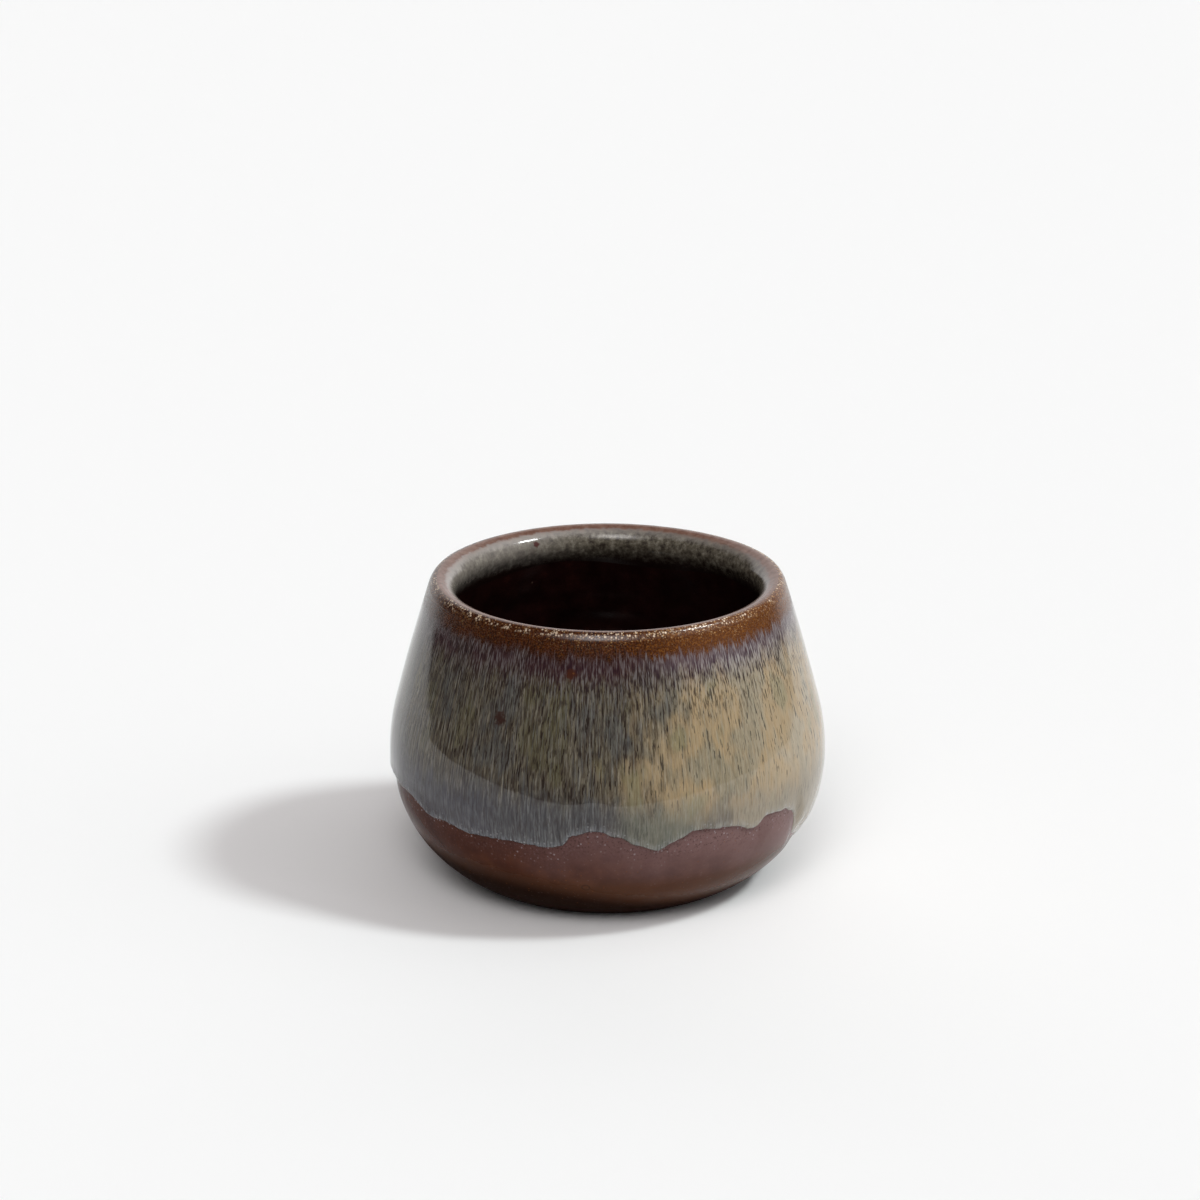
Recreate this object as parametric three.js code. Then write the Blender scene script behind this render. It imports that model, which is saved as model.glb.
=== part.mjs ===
// A handleless coffee cup: a thrown stoneware body under its fused coats of glaze.
// Millimetres, +Z up, front towards -Y, origin on the table under the middle of the foot.

import * as THREE from "three";

// Fired clay
const BELLY_RADIUS = 38.6;
const BELLY_HEIGHT = 22.8;
const FOOT_RADIUS = 23;
const FOOT_WIDTH = 4.4;
const FOOT_RECESS = 1.5;
const FOOT_BEVEL = 0.8;
const FLOOR_THICKNESS = 4.5;
const WALL_THICKNESS = 3.8;
const WALL_LEAN = 14.3;
const SHOULDER_RADIUS = 38;
const LIP_EDGE = 0.8;
const BODY_HEIGHT = 55.5;

// Coats of glaze
const SEAT_GAP = 0.2;
const BROWN_COAT = 0.35;
const RUTILE_COAT = 0.6;
const RUTILE_ROLL = 0.3;
const ROLL_LENGTH = 3.2;
const FEATHER_LENGTH = 7;
const FEATHER_EDGE = 0.12;
const FOOT_LINE = 2.2;
const LIP_OUTSIDE = 4.2;
const LIP_INSIDE = 2.6;
const RUTILE_BELOW_LIP = 1;
const BAND_TOP = 1.3;
const BAND_DEPTH = 8.4;
const BAND_WAVE = 0.7;
const BAND_LOBES = 5;

// Where the streaked coat stopped running: degrees from the front towards +X, and the distance
// from the crest of the lip down the wall.
const RUN_LINE = [
  [-180, 38.0],
  [-158, 39.6],
  [-140, 36.8],
  [-118, 39.0],
  [-98, 36.6],
  [-76, 36.6],
  [-62, 37.3],
  [-54, 39.0],
  [-47, 38.4],
  [-40, 38.8],
  [-26, 38.4],
  [-17, 38.7],
  [-12, 38.0],
  [-9, 35.9],
  [-3, 34.9],
  [3, 36.1],
  [8, 37.9],
  [13, 39.1],
  [18, 37.5],
  [23, 36.0],
  [34, 36.6],
  [42, 38.3],
  [46, 36.6],
  [54, 37.2],
  [58, 38.6],
  [63, 45.5],
  [72, 46.4],
  [82, 43.4],
  [92, 38.4],
  [112, 37.0],
  [130, 40.2],
  [150, 37.2],
  [166, 40.9],
  [180, 38.0],
];

// Facets
const SEGMENTS = 48;
const RUN_SEGMENTS = 2 * SEGMENTS;
const FACET_SAG = 0.15;
const ROLL_STEPS = 4;

const lean = THREE.MathUtils.degToRad(WALL_LEAN);
const floorTop = FOOT_RECESS + FLOOR_THICKNESS;
const rutileSeat = SEAT_GAP + BROWN_COAT + SEAT_GAP;

function arc(x, z, radius, from, to) {
  return new THREE.EllipseCurve(x, z, radius, radius, from, to, to < from);
}

function straight(before, after) {
  return new THREE.LineCurve(before.getPoint(1), after.getPoint(0));
}

// The outside of the clay, from the table up to the crest of the lip.
function outsideCurves(shoulderX, lipX) {
  const inset = BELLY_RADIUS - FOOT_RADIUS;
  const bowlRadius = (inset ** 2 + BELLY_HEIGHT ** 2) / (2 * inset);
  const footAngle = Math.atan2(-BELLY_HEIGHT, bowlRadius - inset);
  const bowl = arc(BELLY_RADIUS - bowlRadius, BELLY_HEIGHT, bowlRadius, footAngle, 0);
  const shoulder = arc(shoulderX, BELLY_HEIGHT, SHOULDER_RADIUS, 0, lean);
  const lip = arc(lipX, BODY_HEIGHT - LIP_EDGE, LIP_EDGE, lean, Math.PI / 2);
  return [bowl, shoulder, straight(shoulder, lip), lip];
}

// The inside of the clay, from the crest of the lip down to the middle of the floor.
function insideCurves(shoulderX, lipX) {
  const bowlRadius = BELLY_HEIGHT - floorTop;
  const bowlX = BELLY_RADIUS - WALL_THICKNESS - bowlRadius;
  const lipRound = (WALL_THICKNESS - LIP_EDGE * (1 - Math.sin(lean))) / (1 + Math.sin(lean));
  const lip = arc(lipX, BODY_HEIGHT - lipRound, lipRound, Math.PI / 2, Math.PI + lean);
  const shoulder = arc(shoulderX, BELLY_HEIGHT, SHOULDER_RADIUS - WALL_THICKNESS, lean, 0);
  const bowl = arc(bowlX, BELLY_HEIGHT, bowlRadius, 0, -Math.PI / 2);
  const floor = new THREE.LineCurve(bowl.getPoint(1), new THREE.Vector2(0, floorTop));
  return [lip, straight(lip, shoulder), shoulder, bowl, floor];
}

function curvesLength(curves) {
  return curves.reduce((sum, curve) => sum + curve.getLength(), 0);
}

// The lip has a tight edge outside and a wider round inside, which meet at its crest.
const shoulderX = BELLY_RADIUS - SHOULDER_RADIUS;
const edgeRadius = SHOULDER_RADIUS - LIP_EDGE;
const wallRise = BODY_HEIGHT - LIP_EDGE - BELLY_HEIGHT - edgeRadius * Math.sin(lean);
const lipX = shoulderX + edgeRadius * Math.cos(lean) - wallRise * Math.tan(lean);

// The glazed side of the clay is one line, and distances along it are counted from the crest of
// the lip: below zero down the outside, above zero down the inside.
const outside = outsideCurves(shoulderX, lipX);
const inside = insideCurves(shoulderX, lipX);
const outsideLength = curvesLength(outside);
const insideLength = curvesLength(inside);
const skin = new THREE.CurvePath();
[...outside, ...inside].forEach((curve) => skin.add(curve));

function liftedPoint(distance, height) {
  const t = (outsideLength + distance) / (outsideLength + insideLength);
  const within = THREE.MathUtils.clamp(t, 0, 1);
  const tangent = skin.getTangent(within);
  const normal = new THREE.Vector2(tangent.y, -tangent.x);
  return skin.getPoint(within).addScaledVector(normal, height);
}

// An arc is cut into chords that stay within the sag of it.
function arcSteps(length, radius) {
  return Math.ceil(length / Math.sqrt(8 * radius * FACET_SAG));
}

// The clay's own corners along the skin, which the coats share so that facets lie along facets.
function skinStations() {
  const stations = [-outsideLength];
  let start = -outsideLength;
  for (const curve of skin.curves) {
    const steps = curve.isLineCurve ? 1 : arcSteps(curve.getLength(), curve.xRadius);
    for (let i = 1; i <= steps; i++) stations.push(start + (curve.getLength() * i) / steps);
    start += curve.getLength();
  }
  return stations;
}

function stationsBetween(from, to) {
  const between = skinStations().filter((d) => d > from + SEAT_GAP && d < to - SEAT_GAP);
  return [from, ...between, to];
}

function facingOut(section) {
  return THREE.ShapeUtils.isClockWise(section) ? section.reverse() : section;
}

function closedSection(seatSide, faceSide) {
  const section = facingOut([...seatSide, ...faceSide.reverse()]);
  return [...section, section[0]];
}

// A section turned about the axis, where the section may change with the angle from the front.
function turned(sectionAt, segments) {
  const geometry = new THREE.LatheGeometry(sectionAt(0), segments);
  const position = geometry.getAttribute("position");
  const perSection = position.count / (segments + 1);
  for (let i = 0; i <= segments; i++) {
    const angle = ((i % segments) / segments) * 2 * Math.PI;
    sectionAt(angle).forEach((point, j) => {
      const x = point.x * Math.sin(angle);
      const z = point.x * Math.cos(angle);
      position.setXYZ(i * perSection + j, x, point.y, z);
    });
  }
  return geometry.rotateX(Math.PI / 2);
}

function bodySection() {
  const ringInside = FOOT_RADIUS - FOOT_WIDTH;
  const underside = [
    new THREE.Vector2(0, FOOT_RECESS),
    new THREE.Vector2(ringInside - FOOT_BEVEL, FOOT_RECESS),
    new THREE.Vector2(ringInside, 0),
  ];
  const glazedSide = skinStations().map((distance) => liftedPoint(distance, 0));
  return facingOut([...underside, ...glazedSide]);
}

// An even coat of the brown glaze between two distances.
function brownSection(from, to) {
  const stations = stationsBetween(from, to);
  const seatSide = stations.map((d) => liftedPoint(d, SEAT_GAP));
  const faceSide = stations.map((d) => liftedPoint(d, SEAT_GAP + BROWN_COAT));
  return closedSection(seatSide, faceSide);
}

// The streaked glaze is thin under the lip and ends below in a thick round roll.
function rutileStations(top, run, steps) {
  const stations = [];
  const rollStart = run - ROLL_LENGTH;
  for (let i = 0; i <= steps; i++) {
    const fromCrest = THREE.MathUtils.lerp(top, rollStart, i / steps);
    const feather = THREE.MathUtils.smoothstep(fromCrest - top, 0, FEATHER_LENGTH);
    const thickness = THREE.MathUtils.lerp(FEATHER_EDGE, RUTILE_COAT, feather);
    stations.push({ fromCrest, thickness });
  }
  const coat = stations.at(-1).thickness;
  for (let i = 1; i <= ROLL_STEPS; i++) {
    const angle = ((i / ROLL_STEPS) * Math.PI) / 2;
    const fromCrest = rollStart + ROLL_LENGTH * Math.sin(angle);
    const thickness = (coat + 2 * RUTILE_ROLL * Math.sin(angle)) * Math.cos(angle);
    stations.push({ fromCrest, thickness });
  }
  return stations;
}

function rutileSection(side, top, run, steps) {
  const stations = rutileStations(top, run, steps);
  const seatSide = stations.map((s) => liftedPoint(side * s.fromCrest, rutileSeat));
  const faceSide = stations.map((s) => liftedPoint(side * s.fromCrest, rutileSeat + s.thickness));
  return closedSection(seatSide, faceSide);
}

function runAt(angle) {
  const degrees = THREE.MathUtils.radToDeg(angle);
  const turn = degrees > 180 ? degrees - 360 : degrees;
  const after = RUN_LINE.findIndex(([place]) => place > turn);
  const last = RUN_LINE.length - 1;
  const [toAngle, toRun] = RUN_LINE[after < 0 ? last : after];
  const [fromAngle, fromRun] = RUN_LINE[(after < 0 ? last : after) - 1];
  return THREE.MathUtils.lerp(fromRun, toRun, THREE.MathUtils.smoothstep(turn, fromAngle, toAngle));
}

function bandRunAt(angle) {
  return BAND_DEPTH + BAND_WAVE * Math.sin(BAND_LOBES * angle);
}

function piece(name, geometry, color, roughness) {
  const material = new THREE.MeshStandardMaterial({ color, roughness, metalness: 0 });
  const mesh = new THREE.Mesh(geometry, material);
  mesh.name = name;
  return mesh;
}

function brownCoat(from, to) {
  return turned(() => brownSection(from, to), SEGMENTS);
}

const footEdge = FOOT_LINE - outsideLength;
const rutileTop = outside.at(-1).getLength() + RUTILE_BELOW_LIP;
const longestRun = Math.max(...RUN_LINE.map(([, run]) => run));
const runSteps = arcSteps(longestRun - rutileTop, outside[0].xRadius);
const bandSteps = arcSteps(BAND_DEPTH + BAND_WAVE - BAND_TOP, inside[0].xRadius);
const cup = new THREE.Group();
cup.add(
  piece("stoneware_body", turned(bodySection, SEGMENTS), "#9a7558", 0.85),
  piece("outer_brown_glaze", brownCoat(footEdge, -LIP_OUTSIDE - SEAT_GAP), "#4a2a1c", 0.22),
  piece("lip_glaze", brownCoat(-LIP_OUTSIDE, LIP_INSIDE), "#7d5236", 0.4),
  piece("liner_glaze", brownCoat(LIP_INSIDE + SEAT_GAP, insideLength), "#1f120c", 0.15),
  piece(
    "rutile_glaze",
    turned((angle) => rutileSection(-1, rutileTop, runAt(angle), runSteps), RUN_SEGMENTS),
    "#857a63",
    0.25,
  ),
  piece(
    "rutile_inner_band",
    turned((angle) => rutileSection(1, BAND_TOP, bandRunAt(angle), bandSteps), SEGMENTS),
    "#8d8670",
    0.25,
  ),
);

export default cup;
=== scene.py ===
"""A handleless stoneware coffee cup: a thrown clay body, brown iron glaze outside, a near black liner,
and a streaked rutile glaze that was laid over the upper part and ran down in the kiln."""

import math
from functools import lru_cache

import bmesh
import bpy
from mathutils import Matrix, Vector, noise


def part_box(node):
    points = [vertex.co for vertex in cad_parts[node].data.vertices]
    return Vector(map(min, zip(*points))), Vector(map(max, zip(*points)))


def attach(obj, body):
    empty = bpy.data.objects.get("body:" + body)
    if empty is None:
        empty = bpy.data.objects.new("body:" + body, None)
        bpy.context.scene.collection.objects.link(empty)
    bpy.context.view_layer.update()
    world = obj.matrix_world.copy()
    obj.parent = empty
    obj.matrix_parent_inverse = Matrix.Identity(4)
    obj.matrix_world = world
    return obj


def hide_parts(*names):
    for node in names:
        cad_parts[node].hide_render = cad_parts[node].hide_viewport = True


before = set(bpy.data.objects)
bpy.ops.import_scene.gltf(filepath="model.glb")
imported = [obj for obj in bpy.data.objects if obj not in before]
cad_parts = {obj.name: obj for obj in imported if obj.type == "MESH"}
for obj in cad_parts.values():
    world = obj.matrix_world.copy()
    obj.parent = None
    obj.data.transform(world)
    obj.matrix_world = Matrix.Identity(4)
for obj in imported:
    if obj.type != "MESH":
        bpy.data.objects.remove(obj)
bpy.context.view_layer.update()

MM = 0.001

# The thrown clay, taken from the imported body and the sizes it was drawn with.
clay_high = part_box("stoneware_body")[1]
BELLY_RADIUS = clay_high[0]
BODY_HEIGHT = clay_high[2]
BELLY_HEIGHT = 22.8 * MM
SHOULDER_RADIUS = 38.0 * MM
WALL_LEAN = math.radians(14.3)
WALL_THICKNESS = 3.8 * MM
LIP_EDGE = 0.35 * MM
FLOOR_HEIGHT = 6.0 * MM
FOOT_RADIUS = 23.0 * MM
FOOT_WIDTH = 4.4 * MM
FOOT_RECESS = 1.5 * MM
FOOT_ROUND = 0.8 * MM

# The edges of the standing ring, and the turning marks in the recess inside it.
RING_EASE = 0.3 * MM
RING_DRAFT = 0.1 * MM
RING_TURN = 0.48 * MM
RECESS_EASE = 0.4 * MM
TURNING_MARKS = 14
TURNING_DEPTH = 0.06 * MM
STEPS_PER_MARK = 4

# The coats, measured from the clay outwards.
SEAT = 0.25 * MM
BROWN_FACE = 0.55 * MM
BROWN_POOLS = 0.32 * MM
LIP_FACE = 0.72 * MM
EDGE_BREAKS = 0.12 * MM
RUTILE_FACE = 1.28 * MM
RUTILE_SWELL = 0.1 * MM
RUTILE_RIDGES = 0.03 * MM
RUTILE_THINS = 0.34 * MM
RUTILE_ROLL = 0.07 * MM
POOLED_ROLL = 0.12 * MM
DRIP_THINS = 0.4 * MM
BAND_FACE = 0.85 * MM
BAND_SINKS = 0.05 * MM

# Where each coat starts, stops and changes, along the wall.
BROWN_TOP = 3.6 * MM
FOOT_LINE = 1.0 * MM
POOL_LENGTH = 5.0 * MM
POOL_FADES = 17.0 * MM
BEAD_LENGTH = 0.8 * MM
LIP_INSIDE = 3.2 * MM
LIP_OUTSIDE = 4.6 * MM
LIP_HOLDS = 2.2 * MM
EDGE_BREADTH = 1.0 * MM
RUTILE_TOP = 1.6 * MM
THICKENS_OVER = 19.0 * MM
THIN_LENGTH = 6.0 * MM
ROLL_LENGTH = 2.2 * MM
LINER_TOP = 2.2 * MM
RINGS_START = 6.6 * MM
RINGS_FADE = 8.0 * MM
BAND_TOP = 1.0 * MM
BAND_DEPTH = 8.4 * MM
BAND_WAVE = 0.7 * MM
BAND_LOBES = 5
# How the rutile coat gains its thickness, and how blunt the lip coat's inner end is.
THICKENS_CURVE = 1.5
LIP_BLUNT = 0.3

# Small unevenness of a hand-thrown, hand-dipped cup. The wall only loses by it, so the cup keeps its size.
WALL_UNEVEN = 0.1 * MM
LIP_UNEVEN = 0.15 * MM
RING_DEPTH = 0.07 * MM
RING_PITCH = 4.6 * MM
RING_DRIFT = 2.0
RUN_RAGGED = 0.45 * MM
FOOT_RAGGED = 0.225 * MM

# Swells of that unevenness: how many in a radian round the cup, and how many in a metre down it.
WALL_SWELLS = (1.3, 70)
LIP_SWELLS = (1.1, 0)
COAT_SWELLS = (7, 40)
RIDGE_SWELLS = (40, 60)
RING_SWELLS = (1, 30)
COARSE_RAGS = (26, 0)
FINE_RAGS = (60, 1)
FOOT_RAGS = (9, 1)

# Where the rutile glaze stopped: degrees round from the front towards the right, millimetres below the lip.
RUN_LINE = (
    (-180, 38.0), (-158, 39.6), (-140, 36.8), (-118, 37.6), (-98, 36.2), (-76, 35.9), (-62, 36.3),
    (-54, 38.3), (-47, 38.2), (-40, 38.8), (-26, 38.4), (-17, 38.7), (-12, 38.0), (-9, 35.9),
    (-3, 34.9), (3, 36.1), (8, 37.9), (13, 39.1), (18, 37.5), (23, 36.0), (34, 36.6), (42, 38.3),
    (46, 36.6), (54, 37.0), (58, 38.2), (66, 45.0), (74, 47.6), (88, 47.8), (100, 43.0), (114, 37.0),
    (130, 40.2), (150, 37.2), (166, 40.9), (180, 38.0),
)
# Middle and half width, in degrees, of the stretches where the coat pooled or ran out thin.
LEFT_POOL = (-88, 34)
LONG_DRIP = (92, 14)
DRIP_SIDE = (66, 12)
DRIP_POOLS = 0.4

# Iron that came up through the glaze: place, size and colour of each spot. The second is a pale gold centre
# on the first, a painted glint.
IRON_SPOTS = (
    ((-6.38 * MM, -33.9 * MM, 48.9 * MM), 1.8 * MM, (0.055, 0.015, 0.007)),
    # Painted glint: a small pale gold centre on the first spot.
    ((-6.0 * MM, -33.9 * MM, 49.2 * MM), 0.6 * MM, (0.24, 0.09, 0.02)),
    ((-18.9 * MM, -31.5 * MM, 40.1 * MM), 2.0 * MM, (0.034, 0.012, 0.008)),
    ((-13.3 * MM, 24.5 * MM, 53.95 * MM), 1.1 * MM, (0.06, 0.008, 0.007)),
    ((22.0 * MM, 29.0 * MM, 43.0 * MM), 1.2 * MM, (0.06, 0.025, 0.015)),
)
# A burst bubble that healed in the brown glaze.
HEALED_BUBBLE = (-3.79 * MM, -35.27 * MM, 9.74 * MM)
BUBBLE_RADIUS = 0.75 * MM

# How finely the pieces are cut. Rings of points crowd towards the lower edge of a coat.
TURN_STEPS = 400
WALL_STEPS = 60
BROWN_CROWDING = 1.4
RUTILE_CROWDING = 1.7
SHARP_EDGE = math.radians(50)
MERGE_DISTANCE = 0.002 * MM

# The clay form as arcs and lines. Distances run from the crest of the lip, down the outside or the inside.
LIP_ROUND = (WALL_THICKNESS - LIP_EDGE * (1 - math.sin(WALL_LEAN))) / (1 + math.sin(WALL_LEAN))
SHOULDER_CENTRE = BELLY_RADIUS - SHOULDER_RADIUS
BOWL_REACH = BELLY_RADIUS - FOOT_RADIUS
BOWL_RADIUS = (BOWL_REACH ** 2 + BELLY_HEIGHT ** 2) / (2 * BOWL_REACH)
EDGE_HEIGHT = BODY_HEIGHT - LIP_EDGE
ROUND_HEIGHT = BODY_HEIGHT - LIP_ROUND
EDGE_REACH = SHOULDER_RADIUS - LIP_EDGE
WALL_RUN = (EDGE_HEIGHT - BELLY_HEIGHT - EDGE_REACH * math.sin(WALL_LEAN)) / math.cos(WALL_LEAN)
LIP_CENTRE = SHOULDER_CENTRE + EDGE_REACH * math.cos(WALL_LEAN) - WALL_RUN * math.sin(WALL_LEAN)
OUTER_LIP_RUN = LIP_EDGE * (math.pi / 2 - WALL_LEAN)
OUTER_SHOULDER_RUN = SHOULDER_RADIUS * WALL_LEAN
BOWL_TURN = math.asin(BELLY_HEIGHT / BOWL_RADIUS)
OUTSIDE_RUN = OUTER_LIP_RUN + WALL_RUN + OUTER_SHOULDER_RUN + BOWL_RADIUS * BOWL_TURN
INNER_SHOULDER = SHOULDER_RADIUS - WALL_THICKNESS
HOLLOW_RADIUS = BELLY_HEIGHT - FLOOR_HEIGHT
HOLLOW_CENTRE = SHOULDER_CENTRE + INNER_SHOULDER - HOLLOW_RADIUS
INNER_LIP_RUN = LIP_ROUND * (math.pi / 2 + WALL_LEAN)
INNER_SHOULDER_RUN = INNER_SHOULDER * WALL_LEAN
INNER_WALL_TOP = ROUND_HEIGHT - LIP_ROUND * math.sin(WALL_LEAN)
INNER_WALL_FOOT = BELLY_HEIGHT + INNER_SHOULDER * math.sin(WALL_LEAN)
INNER_WALL_RUN = (INNER_WALL_TOP - INNER_WALL_FOOT) / math.cos(WALL_LEAN)
HOLLOW_RUN = HOLLOW_RADIUS * math.pi / 2
INSIDE_RUN = INNER_LIP_RUN + INNER_WALL_RUN + INNER_SHOULDER_RUN + HOLLOW_RUN + HOLLOW_CENTRE


def on_arc(centre, height, radius, angle, lift):
    reach = radius + lift
    return centre + reach * math.cos(angle), height + reach * math.sin(angle)


def outside(distance, lift):
    """Radius and height of a point `lift` proud of the clay, `distance` down the outside from the crest."""
    if distance < OUTER_LIP_RUN:
        turn = math.pi / 2 - distance / LIP_EDGE
        return on_arc(LIP_CENTRE, EDGE_HEIGHT, LIP_EDGE, turn, lift)
    distance -= OUTER_LIP_RUN
    if distance < WALL_RUN:
        radius, height = on_arc(LIP_CENTRE, EDGE_HEIGHT, LIP_EDGE, WALL_LEAN, lift)
        return radius + distance * math.sin(WALL_LEAN), height - distance * math.cos(WALL_LEAN)
    distance -= WALL_RUN
    if distance < OUTER_SHOULDER_RUN:
        turn = WALL_LEAN - distance / SHOULDER_RADIUS
        return on_arc(SHOULDER_CENTRE, BELLY_HEIGHT, SHOULDER_RADIUS, turn, lift)
    distance -= OUTER_SHOULDER_RUN
    return on_arc(BELLY_RADIUS - BOWL_RADIUS, BELLY_HEIGHT, BOWL_RADIUS, -distance / BOWL_RADIUS, lift)


def inside(distance, lift):
    """Radius and height of a point `lift` proud of the clay, `distance` down the inside from the crest."""
    if distance < INNER_LIP_RUN:
        turn = math.pi / 2 + distance / LIP_ROUND
        return on_arc(LIP_CENTRE, ROUND_HEIGHT, LIP_ROUND, turn, lift)
    distance -= INNER_LIP_RUN
    if distance < INNER_WALL_RUN:
        radius, height = on_arc(LIP_CENTRE, ROUND_HEIGHT, LIP_ROUND, math.pi + WALL_LEAN, lift)
        return radius + distance * math.sin(WALL_LEAN), height - distance * math.cos(WALL_LEAN)
    distance -= INNER_WALL_RUN
    if distance < INNER_SHOULDER_RUN:
        turn = WALL_LEAN - distance / INNER_SHOULDER
        return on_arc(SHOULDER_CENTRE, BELLY_HEIGHT, INNER_SHOULDER, turn, -lift)
    distance -= INNER_SHOULDER_RUN
    if distance < HOLLOW_RUN:
        return on_arc(HOLLOW_CENTRE, BELLY_HEIGHT, HOLLOW_RADIUS, -distance / HOLLOW_RADIUS, -lift)
    return HOLLOW_CENTRE - (distance - HOLLOW_RUN), FLOOR_HEIGHT + lift


def eased(share):
    share = min(1.0, max(0.0, share))
    return share * share * (3 - 2 * share)


def waver(angle, height, swells):
    """Smooth unevenness from 0 to 1 over the cup."""
    around, rise = swells
    place = Vector((math.sin(angle) * around, -math.cos(angle) * around, height * rise))
    return min(1.0, max(0.0, 0.5 + 0.6 * noise.noise(place)))


def thrown(angle, radius, height):
    """The thrower's unevenness, the same for the clay and every coat on it."""
    grip = eased(height / BELLY_HEIGHT)
    radius -= grip * WALL_UNEVEN * waver(angle, height, WALL_SWELLS)
    height -= eased((height - BELLY_HEIGHT) / BELLY_HEIGHT) * LIP_UNEVEN * waver(angle, 0.0, LIP_SWELLS)
    return radius, height


@lru_cache(maxsize=None)
def run_at(angle):
    """How far down the wall the rutile glaze ran at this angle, with its fine ragged edge."""
    degrees = math.degrees(angle)
    stop = RUN_LINE[-1][1]
    for (before, high), (after, low) in zip(RUN_LINE, RUN_LINE[1:]):
        if before <= degrees <= after:
            stop = high + (low - high) * eased((degrees - before) / (after - before))
            break
    ragged = waver(angle, 0.0, COARSE_RAGS) + 0.5 * waver(angle, 0.3, FINE_RAGS) - 0.75
    return stop * MM + RUN_RAGGED * ragged


def beside(angle, stretch, hold):
    """1 in the middle of a stretch of the wall, easing to 0 past its sides. `hold` widens it."""
    middle, half_width = stretch
    return eased(hold - abs(math.degrees(angle) - middle) / half_width)


def pooled(angle):
    """Where the glaze stood thickest before it set: at the left, and low in the long drip at the right."""
    return max(beside(angle, LEFT_POOL, 1.5), DRIP_POOLS * beside(angle, LONG_DRIP, 1.5))


def sheer(angle):
    """Where the coat ran out thin: along the near side of the long drip."""
    return beside(angle, DRIP_SIDE, 1.3)


def bead(to_edge):
    """The rounded end of a coat: 0 at its edge, 1 a bead's length away."""
    share = max(0.0, 1 - to_edge / BEAD_LENGTH)
    return math.sqrt(1 - share * share)


def rutile_lift(angle, distance, to_edge):
    """The face of the rutile coat: thin at the top, thick and rolled where it stopped."""
    thin = max(0.0, 1 - (distance - RUTILE_TOP) / THICKENS_OVER)
    swell = RUTILE_SWELL * waver(angle, distance, COAT_SWELLS)
    ridges = RUTILE_RIDGES * waver(angle, distance, RIDGE_SWELLS)
    bank = pooled(angle)
    thins = (RUTILE_THINS * (1 - bank) + DRIP_THINS * sheer(angle)) * (1 - eased(to_edge / THIN_LENGTH))
    roll = (RUTILE_ROLL + (POOLED_ROLL - RUTILE_ROLL) * bank) * (1 - eased(to_edge / ROLL_LENGTH))
    full = RUTILE_FACE + swell + ridges - thins + roll
    top = full - (full - LIP_FACE) * thin ** THICKENS_CURVE
    return SEAT + (top - SEAT) * bead(to_edge)


def lay_rutile(angle, share, proud):
    run = run_at(round(angle, 5))
    to_edge = (run - RUTILE_TOP) * (1 - share) ** RUTILE_CROWDING
    distance = run - to_edge
    lift = rutile_lift(angle, distance, to_edge) if proud else SEAT
    return outside(distance, lift), distance, to_edge


def lay_lip(angle, share, proud):
    distance = -LIP_INSIDE + share * (LIP_INSIDE + LIP_OUTSIDE)
    inner_end = math.sin(math.pi * min(share, 0.5)) ** LIP_BLUNT
    outer_end = eased((LIP_OUTSIDE - distance) / (LIP_OUTSIDE - LIP_HOLDS))
    breaks = EDGE_BREAKS * eased(1 - abs(distance - OUTER_LIP_RUN / 2) / EDGE_BREADTH)
    face = BROWN_FACE + (LIP_FACE - BROWN_FACE) * eased(distance / RUTILE_TOP)
    lift = SEAT + proud * ((face - SEAT) * inner_end * outer_end - breaks)
    if distance < 0:
        return inside(-distance, lift), distance, 0.0
    return outside(distance, lift), distance, 0.0


def lay_brown(angle, share, proud):
    stop = OUTSIDE_RUN - FOOT_LINE + FOOT_RAGGED * (waver(angle, 0.5, FOOT_RAGS) - 1)
    distance = stop - (stop - BROWN_TOP) * (1 - share) ** BROWN_CROWDING
    below = distance - run_at(round(angle, 5))
    pools = BROWN_POOLS * eased(below / POOL_LENGTH) * eased((stop - distance) / POOL_FADES)
    lift = SEAT + proud * (BROWN_FACE - SEAT + pools) * bead(stop - distance)
    return outside(distance, lift), distance, below


def lay_liner(angle, share, proud):
    distance = LINER_TOP + share * (INSIDE_RUN - LINER_TOP)
    drift = angle + RING_DRIFT * waver(angle, distance, RING_SWELLS)
    rings = 0.5 + 0.5 * math.sin(2 * math.pi * distance / RING_PITCH + drift)
    hold = eased((distance - RINGS_START) / RINGS_FADE) * eased((INSIDE_RUN - distance) / RINGS_FADE)
    lift = SEAT + proud * (BROWN_FACE - SEAT - RING_DEPTH * rings * hold)
    return inside(distance, lift), -distance, 0.0


def lay_band(angle, share, proud):
    stop = BAND_DEPTH + BAND_WAVE * math.sin(BAND_LOBES * angle)
    distance = BAND_TOP + share * (stop - BAND_TOP)
    hump = math.sin(math.pi * share)
    lift = SEAT + proud * (BROWN_FACE - SEAT - BAND_SINKS + (BAND_FACE - BROWN_FACE) * hump)
    return inside(distance, lift), -distance, stop - distance


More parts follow.
